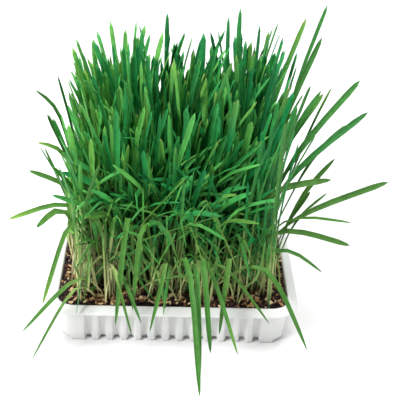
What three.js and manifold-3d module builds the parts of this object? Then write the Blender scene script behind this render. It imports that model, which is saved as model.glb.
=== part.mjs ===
// A tray of wheatgrass: a thin fluted plastic tray, filled with growing mix, in which bunches of
// young wheat stand. Millimetres, +Z up. The front of the tray faces -Y. The origin is on the
// tray's underside, at the middle of its flat foot.

import * as THREE from 'three';
import { mergeVertices } from 'three/addons/utils/BufferGeometryUtils.js';
import Module from 'manifold-3d';

const wasm = await Module();
wasm.setup();

// Tray, measured on the outer face of its wall at the rim
const TRAY_HALF_LENGTH = 95;
const TRAY_HALF_DEPTH = 71;
const TRAY_HEIGHT = 36;
const TRAY_CORNER = 16;
const CORNER_STEPS = 6;
const WALL = 1.4;
const DRAFT = 0.125;
const RIM_FLAT = 0.2;
const LIP_REACH = 6.8;
const LIP_DROP = 4.8;
const LIP_EDGE = 1;
const LIP_ROOT = 2;
const LIP_BEVEL = 0.8;
const LIP_BEVEL_RISE = 0.3;

// Flutes pressed into the walls, deeper at the foot, where each leaves a notch in the outline
const FLUTE_PITCH = 11.4;
const FLUTES_ALONG = 13;
const FLUTES_ACROSS = 9;
const FLUTE_WIDTH = 5.2;
const FLUTE_DEPTH = 4;
const FLUTE_NARROWING = 0.03;
const FLUTE_TOP = 26;
const FLUTE_FADE = 3;
const FLUTE_OVERCUT = 2;
const NOTCH_HEIGHT = 2.4;
const NOTCH_DEPTH = 3.2;
const CORNER_RIB_END = 11;

// Growing mix
const FIT_GAP = 0.3;
const SOIL_TOP = TRAY_HEIGHT - 1.4;
const CRUMB_COUNT = 56;
const CRUMB_TRIES = 2000;
const CRUMB_SIZE = [1.5, 3];
const CRUMB_FLATNESS = 0.8;
const CRUMB_RIM_GAP = 1;
const CRUMB_CROWN_GAP = 1.5;

// Bunches of plants, each on its own root crown in a plain hole in the soil
const CROWN_RADIUS = 12.4;
const CROWN_SIDES = 6;
const CROWN_TOP = SOIL_TOP - 1.6;
const CROWN_DEPTH = 4.5;
const BUNCH_COLUMNS = 7;
const BUNCH_ROWS = 6;
const BUNCH_SPAN_X = 156;
const BUNCH_SPAN_Y = 110;
const BARE_SPOTS = [[-26.7, -55], [0, -55]];

// Blades
const ROOT_HEIGHT = CROWN_TOP - 3.5;
const ROOT_MARGIN = 3;
const ROOT_HALF_LENGTH = 79;
const BLADES_PER_BUNCH = 8;
const FRONT_ROW_BLADES = 4;
const BLADE_TRIES = 24;
const BLADE_WIDTH = [4.2, 5.8];
const BLADE_KEEL = 1.1;
const KEEL_TAPER = 0.25;
const TURN_RATE = 1.3;
const TURN_SPREAD = 30;
const BLADE_CLEARANCE = 0.35;
const GROUND_CLEARANCE = 2;
const PATH_SAMPLES = 30;
const PATH_REACH = 4;
const PLAIN_STATIONS = [0, 0.36, 0.66, 0.92];
const ARCHED_STATIONS = [0, 0.2, 0.38, 0.56, 0.75, 0.92];
const WIDTH_ALONG_BLADE = [[0, 0.36], [0.36, 0.42], [0.66, 1], [0.92, 0.74], [1, 0]];

// How bunches stand: tall at the back and both ends, a little lower at the left end, and low in the
// middle of the front, where the blades bend over to the nearer end into a mat
const TALL_HEIGHT = 180;
const LEFT_DROP = 0.16;
const LEFT_INNER = 44;
const LEFT_OUTER = 80;
const MAT_HEIGHT = 112;
const HEIGHT_RANGE = [0.74, 1.06];
const MAT_FRONT = -50;
const MAT_BACK = 4;
const MAT_MIDDLE = -12;
const MAT_INNER = 38;
const MAT_OUTER = 72;
const MAT_REACH = 30;
const MAT_RISE = 0.88;
const MAT_SHARE = 0.3;
const MAT_TURN = 40;
const RIGHT_LEAN = 5;
const SIDE_LEAN = 6;
const DEPTH_LEAN = 6;
const FORWARD_LEAN = 14;
const LEAN_SPREAD = 26;
const BEND_LEAN = 0.12;
const BEND_RISE = 0.56;

// Blades that give the tray its outline: root x y, bend x y z, tip x y z, width, turn in degrees
const OUTLINE_BLADES = [
  // leaning out to the right
  [64, -12, 86, -16, 139, 139, -22, 215, 5.5, 80],
  [56, -26, 81, -28, 130, 146, -32, 193, 5.5, 75],
  [80, 0, 88, -4, 157, 112, -10, 201, 4.5, 60],
  [74, 2, 108, 0, 166, 124, 0, 202, 2.6, 50],
  [58, 6, 83, 6, 136, 116, 4, 193, 5, 60],
  [75, -10, 76, -5, 151, 110, 0, 241, 5, 75],
  [70, 10, 71, 10, 169, 98, 10, 253, 4.5, 60],
  [85, 12, 87, 11, 173, 112, 0, 267, 4, 60],
  [76, 8, 109, 8, 133, 132, 5, 166, 4, 40],
  [74, -28, 95, -24, 115, 125, -20, 149, 4.5, 70],
  [30, -26, 67, -42, 130, 120, -50, 143, 6, 80],
  [50, -34, 87, -38, 101, 166, -42, 139, 5.5, 75],
  [46, -40, 80, -51, 114, 141, -55, 106, 3, 30],
  [38, -42, 75, -45, 103, 141, -46, 82, 5, 60],
  [20, -42, 80, -56, 95, 118, -62, 64, 4, 45],
  [20, -46, 69, -74, 96, 106, -102, 18, 6, 15],
  [82, -15, 91, -18, 85, 109, -20, 117, 4.5, 50],
  [80, -25, 97, -22, 92, 123, -20, 116, 2.6, 40],
  [26, -50, 30, -68, 92, 76, -92, 36, 3.4, 10],
  // leaning out to the left
  [-74, 16, -92, 20, 168, -111, 20, 185, 3.5, -55],
  [-82, 28, -82, 25, 132, -97, 20, 196, 3.5, -60],
  [-74, 4, -84, 3, 124, -102, 0, 172, 4.5, -60],
  [-60, 0, -87, -5, 144, -112, -10, 150, 4, -55],
  [-74, -12, -86, -8, 93, -107, 0, 141, 2.6, -60],
  [-56, -16, -77, -17, 114, -118, -20, 130, 4.5, -60],
  [-32, -38, -55, -46, 135, -90, -50, 144, 6, -70],
  [-52, -34, -74, -38, 121, -133, -40, 96, 4.5, -50],
  [-58, -42, -86, -41, 118, -111, -40, 89, 6, -50],
  [-28, -46, -51, -54, 122, -82, -60, 104, 6, -60],
  [-62, -46, -75, -64, 138, -104, -80, 42, 5, -30],
  [-52, -52, -72, -74, 75, -117, -100, 30, 5, -15],
  [-60, -56, -76, -82, 71, -107, -110, 11, 3.6, 0],
  // drooping over the front lip
  [-26, -46, -35, -66, 145, -45, -92, 32, 5.4, 0],
  [-50, -42, -50, -80, 94, -31, -97, 27, 3, 0],
  [-40, -36, -43, -78, 78, -25, -94, 36, 4, 0],
  [-12, -42, -25, -64, 136, -33, -86, 42, 5.2, 0],
  [-18, -36, -2, -78, 97, -20, -96, 28, 4.5, 0],
  [-6, -42, 6, -86, 111, 16, -150, 8, 5.4, 0],
  [4, -40, 13, -90, 103, 25, -138, 15, 5, 0],
  [18, -44, 22, -84, 110, 27, -128, 30, 5.4, 0],
  [8, -34, 18, -75, 105, 45, -120, 24, 4.5, 0],
  [42, -48, 43, -80, 108, 36, -100, 31, 4.6, 0],
  // fringe at the front of the grass
  [-36, -32, -20, -60, 122, 0, -76, 94, 5.5, 20],
  [-14, -26, 1, -42, 125, 25, -56, 148, 5.5, 60],
  [-4, -30, 8, -47, 122, 24, -58, 144, 5, 50],
  [10, -36, 28, -54, 118, 58, -64, 138, 6, 60],
  [24, -28, 29, -46, 130, 55, -54, 137, 5.5, 60],
  [42, -26, 50, -40, 139, 72, -46, 156, 5.5, 60],
  [-28, -36, -11, -56, 116, 18, -64, 119, 3.5, 30],
  [-4, -38, 9, -60, 116, 41, -72, 102, 3.5, 30],
  [32, -46, 43, -60, 123, 58, -74, 102, 3.5, 20],
  [-60, -38, -62, -62, 108, -66, -76, 116, 5, 20],
  [-42, -28, -46, -54, 121, -52, -66, 124, 5.5, 20],
  [36, -36, 35, -60, 108, 28, -70, 120, 5.5, 20],
  [66, -40, 65, -64, 105, 58, -74, 90, 5, 10],
  [-5, -30, -4, -36, 110, -3, -45, 167, 6, 0],
  [50, -35, 57, -42, 120, 72, -50, 162, 6, 60],
  // the tallest tips at the back
  [-10, 46, -10, 46, 144, -10, 40, 244, 5, 0],
  [46, 28, 46, 25, 148, 47, 20, 256, 5, 0],
  [41, 32, 40, 28, 143, 38, 20, 249, 4.5, 0],
  [58, 30, 60, 26, 144, 63, 20, 243, 4, 0],
];
const OUTLINE_JITTER = 1.2;
const OUTLINE_TRIES = 40;

const PLASTIC = new THREE.MeshStandardMaterial({ color: 0xf2f3f2, roughness: 0.42, metalness: 0 });
const SOIL = new THREE.MeshStandardMaterial({ color: 0x2c2119, roughness: 0.95, metalness: 0 });
const GREEN = new THREE.MeshStandardMaterial({ color: 0x3f8f3c, roughness: 0.55, metalness: 0 });

// Repeatable random numbers from 0 to 1
function makeRandom(seed) {
  let state = seed;
  return () => {
    state = (state + 0x6d2b79f5) | 0;
    let mixed = Math.imul(state ^ (state >>> 15), 1 | state);
    mixed = (mixed + Math.imul(mixed ^ (mixed >>> 7), 61 | mixed)) ^ mixed;
    return ((mixed ^ (mixed >>> 14)) >>> 0) / 4294967296;
  };
}

const random = makeRandom(20);
const between = (low, high) => low + (high - low) * random();
const spread = (size) => size * (random() + random() + random() - 1.5);

// Value at `t` on a line through the given [t, value] points
function valueAlong(points, t) {
  const next = points.findIndex(([at]) => at >= t);
  if (next <= 0) return points[0][1];
  const [t0, v0] = points[next - 1];
  const [t1, v1] = points[next];
  return v0 + ((v1 - v0) * (t - t0)) / (t1 - t0);
}

// A closed three.js geometry as a solid that can be joined and cut
function solidOf(geometry) {
  const bare = geometry.clone();
  bare.deleteAttribute('normal');
  bare.deleteAttribute('uv');
  const merged = mergeVertices(bare, 1e-4);
  const vertProperties = Float32Array.from(merged.attributes.position.array);
  const triVerts = Uint32Array.from(merged.index.array);
  return new wasm.Manifold(new wasm.Mesh({ numProp: 3, vertProperties, triVerts }));
}

function geometryOf(solid) {
  const mesh = solid.getMesh();
  const geometry = new THREE.BufferGeometry();
  geometry.setAttribute('position', new THREE.BufferAttribute(mesh.vertProperties, 3));
  geometry.setIndex(new THREE.BufferAttribute(mesh.triVerts, 1));
  geometry.computeVertexNormals();
  return geometry;
}

function joined(solids) {
  return solids.reduce((whole, solid) => whole.add(solid));
}

// Skin over a stack of rings with equal point counts, each counter-clockwise seen from its far end.
// A last ring of one point closes to a tip.
function skinned(rings) {
  const positions = rings.flat().flatMap((point) => [point.x, point.y, point.z]);
  const count = rings[0].length;
  const index = [];
  const tip = rings.at(-1).length === 1;
  for (let ring = 0; ring + 1 < rings.length; ring += 1) {
    for (let i = 0; i < count; i += 1) {
      const low = ring * count + i;
      const lowNext = ring * count + ((i + 1) % count);
      const closing = tip && ring + 2 === rings.length;
      const high = (ring + 1) * count + (closing ? 0 : i);
      const highNext = (ring + 1) * count + (closing ? 0 : (i + 1) % count);
      index.push(low, lowNext, highNext);
      if (!closing) index.push(low, highNext, high);
    }
  }
  const last = (rings.length - 1) * count;
  for (let i = 1; i + 1 < count; i += 1) {
    index.push(0, i + 1, i);
    if (!tip) index.push(last, last + i, last + i + 1);
  }
  const geometry = new THREE.BufferGeometry();
  geometry.setAttribute('position', new THREE.Float32BufferAttribute(positions, 3));
  geometry.setIndex(index);
  return geometry;
}

// The tray's rounded outline at one height, moved outward by `offset` from the wall line at the rim
function trayRing([offset, z]) {
  const ring = [];
  for (let corner = 0; corner < 4; corner += 1) {
    const signX = corner === 0 || corner === 3 ? 1 : -1;
    const signY = corner < 2 ? 1 : -1;
    for (let step = 0; step <= CORNER_STEPS; step += 1) {
      const angle = ((corner + step / CORNER_STEPS) * Math.PI) / 2;
      const radius = TRAY_CORNER + offset;
      const x = signX * (TRAY_HALF_LENGTH - TRAY_CORNER) + radius * Math.cos(angle);
      const y = signY * (TRAY_HALF_DEPTH - TRAY_CORNER) + radius * Math.sin(angle);
      ring.push(new THREE.Vector3(x, y, z));
    }
  }
  return ring;
}

// How far the drafted wall stands inside the rim's wall line at a height
const wallInset = (z) => DRAFT * (TRAY_HEIGHT - z);

// One flute seen from the side, extruded to its width and narrowed towards its back; `grow` thickens
// it by the wall, to give the bump that the flute makes inside the tray
function fluteGeometry(grow) {
  const floor = (z) => wallInset(z) + FLUTE_DEPTH + grow;
  const notchBack = floor(0) + NOTCH_DEPTH;
  const top = FLUTE_TOP + grow;
  const side = new THREE.Shape();
  side.moveTo(-FLUTE_OVERCUT, -FLUTE_OVERCUT);
  side.lineTo(notchBack, -FLUTE_OVERCUT);
  side.lineTo(notchBack, NOTCH_HEIGHT + grow);
  side.lineTo(floor(NOTCH_HEIGHT), NOTCH_HEIGHT + grow);
  side.lineTo(floor(top - FLUTE_FADE), top - FLUTE_FADE);
  side.lineTo(wallInset(top), top);
  side.lineTo(-FLUTE_OVERCUT, top);
  side.closePath();
  const width = FLUTE_WIDTH + 2 * grow;
  const geometry = new THREE.ExtrudeGeometry(side, { depth: width, bevelEnabled: false });
  geometry.translate(0, 0, -width / 2);
  const position = geometry.attributes.position;
  for (let i = 0; i < position.count; i += 1) {
    position.setZ(i, position.getZ(i) * (1 - FLUTE_NARROWING * position.getX(i)));
  }
  const toWall = new THREE.Matrix4().makeBasis(
    new THREE.Vector3(0, 1, 0),
    new THREE.Vector3(0, 0, 1),
    new THREE.Vector3(1, 0, 0),
  );
  return geometry.applyMatrix4(toWall);
}

// All flutes of the four walls, and the raised foot under each rounded corner
function fluteCutters(grow) {
  const cutters = [];
  const walls = [
    [FLUTES_ALONG, TRAY_HALF_DEPTH, 0],
    [FLUTES_ACROSS, TRAY_HALF_LENGTH, 1],
    [FLUTES_ALONG, TRAY_HALF_DEPTH, 2],
    [FLUTES_ACROSS, TRAY_HALF_LENGTH, 3],
  ];
  for (const [count, distance, quarter] of walls) {
    for (let i = 0; i < count; i += 1) {
      const geometry = fluteGeometry(grow);
      geometry.translate((i - (count - 1) / 2) * FLUTE_PITCH, -distance, 0);
      geometry.rotateZ((quarter * Math.PI) / 2);
      cutters.push(solidOf(geometry));
    }
  }
  const reach = CORNER_RIB_END + grow;
  for (const signX of [-1, 1]) {
    for (const signY of [-1, 1]) {
      const block = new THREE.BoxGeometry(2 * reach, 2 * reach, 2 * (NOTCH_HEIGHT + grow));
      block.translate(signX * TRAY_HALF_LENGTH, signY * TRAY_HALF_DEPTH, 0);
      cutters.push(solidOf(block));
    }
  }
  return joined(cutters);
}

// Thin-walled tray: a drafted wall that turns out at the rim into a sloping lip
function makeTray() {
  const lipUnder = TRAY_HEIGHT - LIP_DROP;
  const outside = solidOf(skinned([
    [-wallInset(0), 0],
    [-wallInset(TRAY_HEIGHT - LIP_ROOT), TRAY_HEIGHT - LIP_ROOT],
    [LIP_REACH - LIP_BEVEL, lipUnder],
    [LIP_REACH, lipUnder + LIP_BEVEL_RISE],
    [LIP_REACH, lipUnder + LIP_EDGE],
    [RIM_FLAT, TRAY_HEIGHT],
  ].map(trayRing)));
  const inside = solidOf(skinned([
    [-wallInset(WALL) - WALL, WALL],
    [-WALL, TRAY_HEIGHT],
    [-WALL, TRAY_HEIGHT + WALL],
  ].map(trayRing)));
  const hollow = inside.subtract(fluteCutters(WALL));
  return outside.subtract(fluteCutters(0)).subtract(hollow);
}

// Centres of the bunches, in staggered rows, with the bare patch left out
function bunchPlaces() {
  const places = [];
  for (let row = 0; row < BUNCH_ROWS; row += 1) {
    const columns = BUNCH_COLUMNS - (row % 2);
    const y = (row / (BUNCH_ROWS - 1) - 0.5) * BUNCH_SPAN_Y;
    for (let column = 0; column < columns; column += 1) {
      const x = ((column - (columns - 1) / 2) * BUNCH_SPAN_X) / (BUNCH_COLUMNS - 1);
      const bare = BARE_SPOTS.some(([bx, by]) => Math.hypot(x - bx, y - by) < CROWN_RADIUS);
      const count = row === 0 ? FRONT_ROW_BLADES : BLADES_PER_BUNCH;
      if (!bare) places.push({ name: `clump_${row + 1}_${column + 1}`, x, y, count, blades: [] });
    }
  }
  return places;
}

function crownGeometry(place, radius, low, high) {
  const geometry = new THREE.CylinderGeometry(radius, radius, high - low, CROWN_SIDES);
  geometry.rotateX(Math.PI / 2);
  geometry.rotateZ(Math.PI / CROWN_SIDES);
  return geometry.translate(place.x, place.y, (low + high) / 2);
}

// A lumpy crumb, half sunk in the soil
function crumbGeometry(x, y) {
  const crumb = new THREE.OctahedronGeometry(1);
  crumb.rotateX(between(0, Math.PI));
  crumb.rotateY(between(0, Math.PI));
  crumb.scale(between(...CRUMB_SIZE), between(...CRUMB_SIZE), between(...CRUMB_SIZE) * CRUMB_FLATNESS);
  crumb.rotateZ(between(0, Math.PI));
  return crumb.translate(x, y, SOIL_TOP);
}

// Growing mix that fills the tray, steps in past the flutes' bumps, and has a hole for each bunch
function makeSoil(places) {
  const bump = WALL + FIT_GAP;
  const shelf = NOTCH_HEIGHT + WALL + FIT_GAP;
  const ledge = FLUTE_TOP + WALL + FIT_GAP;
  const deepInset = wallInset(0) + FLUTE_DEPTH + NOTCH_DEPTH + bump;
  const fluteInset = (z) => wallInset(z) + FLUTE_DEPTH + bump;
  const block = solidOf(skinned([
    [-deepInset, WALL + FIT_GAP],
    [-deepInset, shelf],
    [-fluteInset(shelf), shelf + FIT_GAP],
    [-fluteInset(ledge), ledge],
    [-wallInset(ledge) - bump, ledge + FIT_GAP],
    [-wallInset(SOIL_TOP) - bump, SOIL_TOP],
  ].map(trayRing)));
  const crumbs = [];
  const margin = CRUMB_SIZE[1] + WALL + CRUMB_RIM_GAP;
  const rimX = TRAY_HALF_LENGTH - margin;
  const rimY = TRAY_HALF_DEPTH - margin;
  for (let tries = 0; crumbs.length < CRUMB_COUNT && tries < CRUMB_TRIES; tries += 1) {
    const x = between(-rimX, rimX);
    const y = between(-rimY, rimY);
    const inCorner = Math.abs(x) + Math.abs(y) > rimX + rimY - TRAY_CORNER;
    const nearest = Math.min(...places.map((place) => Math.hypot(place.x - x, place.y - y)));
    const clear = nearest > CROWN_RADIUS + CRUMB_CROWN_GAP;
    if (clear && !inCorner) crumbs.push(solidOf(crumbGeometry(x, y)));
  }
  const low = CROWN_TOP - CROWN_DEPTH - FIT_GAP;
  const holes = places.map((place) => (
    solidOf(crownGeometry(place, CROWN_RADIUS + FIT_GAP, low, SOIL_TOP + 2 * CRUMB_SIZE[1]))
  ));
  return joined([block, ...crumbs]).subtract(joined(holes));
}

// A blade on a bent path: a three-cornered section, flat above and keeled below, narrow at the stem,
// broad above it and pointed at the tip. `turn` twists it about its path, from stem to tip.
function bladeGeometry({ path, width, turn, stations }, grow) {
  const start = path.getPoint(0);
  const travel = path.getPoint(1).sub(start);
  const across = new THREE.Vector3(-travel.y, travel.x, 0);
  if (across.length() < 1) across.set(1, 0, 0);
  across.normalize();
  const rings = stations.map((t) => {
    const centre = path.getPoint(t);
    const along = path.getTangent(t);
    const side = across.clone().addScaledVector(along, -across.dot(along)).normalize();
    side.applyAxisAngle(along, turn * Math.min(1, TURN_RATE * t));
    const back = new THREE.Vector3().crossVectors(along, side);
    const half = (width * valueAlong(WIDTH_ALONG_BLADE, t)) / 2 + grow;
    const keel = BLADE_KEEL * (1 - KEEL_TAPER * t) + grow;
    return [
      centre.clone().addScaledVector(side, half).addScaledVector(back, grow),
      centre.clone().addScaledVector(side, -half).addScaledVector(back, grow),
      centre.clone().addScaledVector(back, -keel),
    ];
  });
  const tip = path.getPoint(1).addScaledVector(path.getTangent(1), grow);
  return skinned([...rings, [tip]]);
}

// A blade described by its path, which follows the stem up to a bend and there turns to the tip, with
// what is needed to test it against its neighbours
function makeBlade([root, bend, tip], width, turnDegrees, stations) {
  const path = new THREE.CubicBezierCurve3(root, bend, bend, tip);
  const shape = { path, width, turn: THREE.MathUtils.degToRad(turnDegrees), stations };
  const solid = solidOf(bladeGeometry(shape, 0));
  const stout = solidOf(bladeGeometry(shape, BLADE_CLEARANCE));
  return { solid, stout, samples: path.getPoints(PATH_SAMPLES), width };
}

function boxesMeet(a, b) {
  return [0, 1, 2].every((k) => a.min[k] < b.max[k] && b.min[k] < a.max[k]);
}

// True where two blades pass within reach of each other at some sampled point
function pathsNear(a, b) {
  const reach = (a.width + b.width) / 2 + PATH_REACH;
  return a.samples.some((p) => b.samples.some((q) => p.distanceToSquared(q) < reach * reach));
}

// True where a blade keeps its clearance to the tray, the soil and every blade already placed
function standsClear(blade, placed, fixed) {
  const box = blade.stout.boundingBox();
  if (box.min[2] < GROUND_CLEARANCE) return false;
  for (const other of placed) {
    if (boxesMeet(box, other.solid.boundingBox()) && pathsNear(blade, other)) {
      if (!blade.stout.intersect(other.solid).isEmpty()) return false;
    }
  }
  return fixed.every((solid) => blade.stout.intersect(solid).isEmpty());
}

// The bunch that a root falls to, and that root moved inside the bunch's crown
function rootIn(places, x, y) {
  const distance = (place) => Math.hypot(place.x - x, place.y - y);
  const place = places.reduce((best, next) => (distance(next) < distance(best) ? next : best));
  const shrink = Math.min(1, (CROWN_RADIUS - ROOT_MARGIN) / Math.max(distance(place), 1e-6));
  const root = new THREE.Vector3(
    place.x + (x - place.x) * shrink,
    place.y + (y - place.y) * shrink,
    ROOT_HEIGHT,
  );
  return { place, root };
}

// Blades of the outline first, each bent a little where it would touch another
function growOutline(places, placed, fixed) {
  for (const [rx, ry, bx, by, bz, tx, ty, tz, width, turn] of OUTLINE_BLADES) {
    for (let tries = 0; tries < OUTLINE_TRIES; tries += 1) {
      const jitter = OUTLINE_JITTER * Math.sqrt(tries);
      const { place, root } = rootIn(places, rx + spread(jitter), ry + spread(jitter));
      const bend = new THREE.Vector3(bx + spread(jitter), by + spread(jitter), bz + spread(jitter));
      const tip = new THREE.Vector3(tx + spread(jitter), ty + spread(jitter), tz + spread(jitter) / 2);
      const blade = makeBlade([root, bend, tip], width, turn, ARCHED_STATIONS);
      if (standsClear(blade, placed, fixed)) {
        place.blades.push(blade);
        placed.push(blade);
        break;
      }
    }
  }
}

// Blades that fill each bunch: upright at the back and both ends, bent over in the mat
function growBunch(place, places, placed, fixed) {
  for (let blade = 0; blade < place.count; blade += 1) {
    for (let tries = 0; tries < BLADE_TRIES; tries += 1) {
      const angle = between(0, 2 * Math.PI);
      const radius = (CROWN_RADIUS - ROOT_MARGIN) * Math.sqrt(random());
      const x = place.x + radius * Math.cos(angle);
      const y = place.y + radius * Math.sin(angle);
      if (Math.abs(x) > ROOT_HALF_LENGTH) continue;
      const { root } = rootIn(places, x, y);
      const ahead = 1 - THREE.MathUtils.smoothstep(y, MAT_FRONT, MAT_BACK);
      const outer = THREE.MathUtils.smoothstep(Math.abs(x - MAT_MIDDLE), MAT_INNER, MAT_OUTER);
      const mat = ahead * (1 - outer);
      const lower = 1 - LEFT_DROP * THREE.MathUtils.smoothstep(-x, LEFT_INNER, LEFT_OUTER);
      const height = lower * THREE.MathUtils.lerp(TALL_HEIGHT, MAT_HEIGHT, mat) * between(...HEIGHT_RANGE);
      const heading = Math.sign(x - MAT_MIDDLE) * mat;
      const sideways = (x / TRAY_HALF_LENGTH) * SIDE_LEAN + MAT_REACH * heading;
      const lean = new THREE.Vector3(
        RIGHT_LEAN + sideways + spread(LEAN_SPREAD),
        (y / TRAY_HALF_DEPTH) * DEPTH_LEAN - FORWARD_LEAN * ahead + spread(LEAN_SPREAD),
        height,
      );
      const rise = THREE.MathUtils.lerp(BEND_RISE, MAT_RISE, mat);
      const bend = root.clone().addScaledVector(lean, BEND_LEAN).setZ(root.z + height * rise);
      const tip = root.clone().add(lean);
      const width = between(...BLADE_WIDTH);
      const stations = mat > MAT_SHARE ? ARCHED_STATIONS : PLAIN_STATIONS;
      const turn = MAT_TURN * heading + spread(TURN_SPREAD);
      const made = makeBlade([root, bend, tip], width, turn, stations);
      if (standsClear(made, placed, fixed)) {
        place.blades.push(made);
        placed.push(made);
        break;
      }
    }
  }
}

function makeMesh(name, solid, material) {
  const mesh = new THREE.Mesh(geometryOf(solid), material);
  mesh.name = name;
  return mesh;
}

const wheatgrassTray = new THREE.Group();
const places = bunchPlaces();
const tray = makeTray();
const soil = makeSoil(places);
wheatgrassTray.add(makeMesh('tray', tray, PLASTIC));
wheatgrassTray.add(makeMesh('soil', soil, SOIL));

const placed = [];
growOutline(places, placed, [tray, soil]);
places.forEach((place) => growBunch(place, places, placed, [tray, soil]));
for (const place of places) {
  const crown = solidOf(crownGeometry(place, CROWN_RADIUS, CROWN_TOP - CROWN_DEPTH, CROWN_TOP));
  const bunch = joined([crown, ...place.blades.map((blade) => blade.solid)]);
  wheatgrassTray.add(makeMesh(place.name, bunch, GREEN));
}

export default wheatgrassTray;
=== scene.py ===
"""Looks of a tray of wheatgrass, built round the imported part, in metres and in the part's frame."""

import bpy
import numpy as np
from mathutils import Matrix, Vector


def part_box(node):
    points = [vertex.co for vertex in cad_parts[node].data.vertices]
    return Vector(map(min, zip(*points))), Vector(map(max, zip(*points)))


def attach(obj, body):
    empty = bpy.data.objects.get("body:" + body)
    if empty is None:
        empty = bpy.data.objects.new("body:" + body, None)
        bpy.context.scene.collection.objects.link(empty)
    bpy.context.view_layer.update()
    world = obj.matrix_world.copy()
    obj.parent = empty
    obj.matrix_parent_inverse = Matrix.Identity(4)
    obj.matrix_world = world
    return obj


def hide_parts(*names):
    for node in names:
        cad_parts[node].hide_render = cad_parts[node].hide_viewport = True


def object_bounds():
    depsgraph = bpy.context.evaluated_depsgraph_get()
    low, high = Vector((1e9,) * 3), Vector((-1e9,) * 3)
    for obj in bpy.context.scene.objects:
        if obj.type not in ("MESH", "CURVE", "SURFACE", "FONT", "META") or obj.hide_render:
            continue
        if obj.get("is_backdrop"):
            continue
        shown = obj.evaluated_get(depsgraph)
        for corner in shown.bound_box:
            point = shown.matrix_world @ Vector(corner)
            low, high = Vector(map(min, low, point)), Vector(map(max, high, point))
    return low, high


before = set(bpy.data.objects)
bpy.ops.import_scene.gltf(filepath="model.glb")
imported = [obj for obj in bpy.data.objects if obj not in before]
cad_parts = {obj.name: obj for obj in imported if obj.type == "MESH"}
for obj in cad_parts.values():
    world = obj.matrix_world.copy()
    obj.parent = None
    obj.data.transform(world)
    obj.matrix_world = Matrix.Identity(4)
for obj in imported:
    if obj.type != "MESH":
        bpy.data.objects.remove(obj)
CAD_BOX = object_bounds()
MM = 0.001
rng = np.random.default_rng(11)

# Tray: half sizes are at the rim, on the wall's outer face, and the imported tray's box is that of its lip
LIP_REACH = 6.8 * MM
LIP_DROP = 4.8 * MM
LIP_THICK = 1.2 * MM
TRAY_HIGH = np.array(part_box("tray")[1])
TRAY_HALF = TRAY_HIGH[:2] - LIP_REACH
TRAY_HEIGHT = TRAY_HIGH[2]
TRAY_CORNER = 16 * MM
WALL = 1.4 * MM
DRAFT = 0.125
FLUTE_PITCH = 11.4 * MM
FLUTES_ALONG = 13
FLUTES_ACROSS = 9
FLUTE_WIDTH = 5.0 * MM
FLUTE_SOFT = 1.1 * MM
FLUTE_DEPTH = 4.0 * MM
FLUTE_TOP = 30.0 * MM
FLUTE_FADE = 5.0 * MM
NOTCH_HEIGHT = 2.4 * MM
NOTCH_DEPTH = 1.4 * MM
CORNER_RIB_END = 11 * MM
CORNER_SOFT = 0.4 * MM
OUTLINE_STEP = 0.7 * MM
INSIDE_ROWS = 14
OUTSIDE_ROWS = 26

# Tray: rounded places of its profile, as offsets from the wall or the lip's edge, and drops or rises
FLOOR_ROUND = 0.8 * MM
RIM_INSIDE = 1.0 * MM
RIM_POINTS = np.array([(-1.35, 0.5), (-1.0, 0.1), (-0.4, 0.0), (0.3, 0.12), (1.2, 0.6)]) * MM
LIP_SHARES = (0.35, 0.55, 0.75, 0.9)
EDGE_POINTS = ((0.35 * MM, 0.95), (0.06 * MM, 0.75), (0.0, 0.45), (0.1 * MM, 0.15), (0.45 * MM, 0.0))
LIP_ROOT = (0.6 * MM, 2.3 * MM)
WALL_TOP = TRAY_HEIGHT - 3.0 * MM
WALL_END = 1.0 * MM
FOOT_POINTS = np.array([(0.25, 0.35), (0.9, 0.0)]) * MM
BASE_ROUND = 0.6 * MM

# Growing mix: lumps are noise sizes and heights, the skirt is insets and heights, litter is size ranges
SOIL_TOP = TRAY_HEIGHT - 1.4 * MM
SOIL_SINK = 1.6 * MM
SOIL_SWELL = 0.8 * MM
SOIL_GAP = 0.5 * MM
SOIL_STEP = 2.0 * MM
SOIL_RINGS = 70
SOIL_MIDDLE = 0.02
SOIL_EDGE = 0.94
SOIL_LUMPS = ((9.0 * MM, 1.3 * MM), (4.0 * MM, 0.9 * MM), (2.2 * MM, 0.7 * MM))
SOIL_SKIRT = ((6.8 * MM, 25.0 * MM), (10.6 * MM, 4.4 * MM), (14.0 * MM, 1.8 * MM))
SKIRT_SHADE = 0.1
BED_SHADE, BED_SHADE_SWING, BED_SHADE_SIZE = 0.16, 0.12, 3 * MM
CRUMBS = 3200
HUSKS = 1800
SEEDS = 200
STRAWS = 110
CRUMB_SIZES = np.array([(1.2, 1.2, 1.0), (4.8, 4.2, 3.2)]) * MM
HUSK_SIZES = np.array([(2.4, 1.8, 0.9), (5.6, 4.2, 2.4)]) * MM
SEED_SIZES = np.array([(5.0, 2.4, 2.2), (6.6, 3.2, 2.8)]) * MM
STRAW_SIZES = np.array([(8.0, 0.8, 0.6), (18.0, 1.2, 0.8)]) * MM
SIZE_CROWDING = 1.6
LIFT_SPREAD = (0.2, 1.0)

# Grass: how many fillers of each kind, and how wide their leaves are
STANDING = 820
FRINGE = 160
STEMS = 290
ARCHES = 160
SHOOTS = 150
STANDING_WIDTH = (2.6 * MM, 5.2 * MM)
FRINGE_WIDTH = (2.6 * MM, 4.4 * MM)
STEMS_WIDTH = (1.3 * MM, 2.4 * MM)
ARCHES_WIDTH = (1.3 * MM, 3.2 * MM)
SHOOTS_WIDTH = (1.3 * MM, 2.2 * MM)

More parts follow.
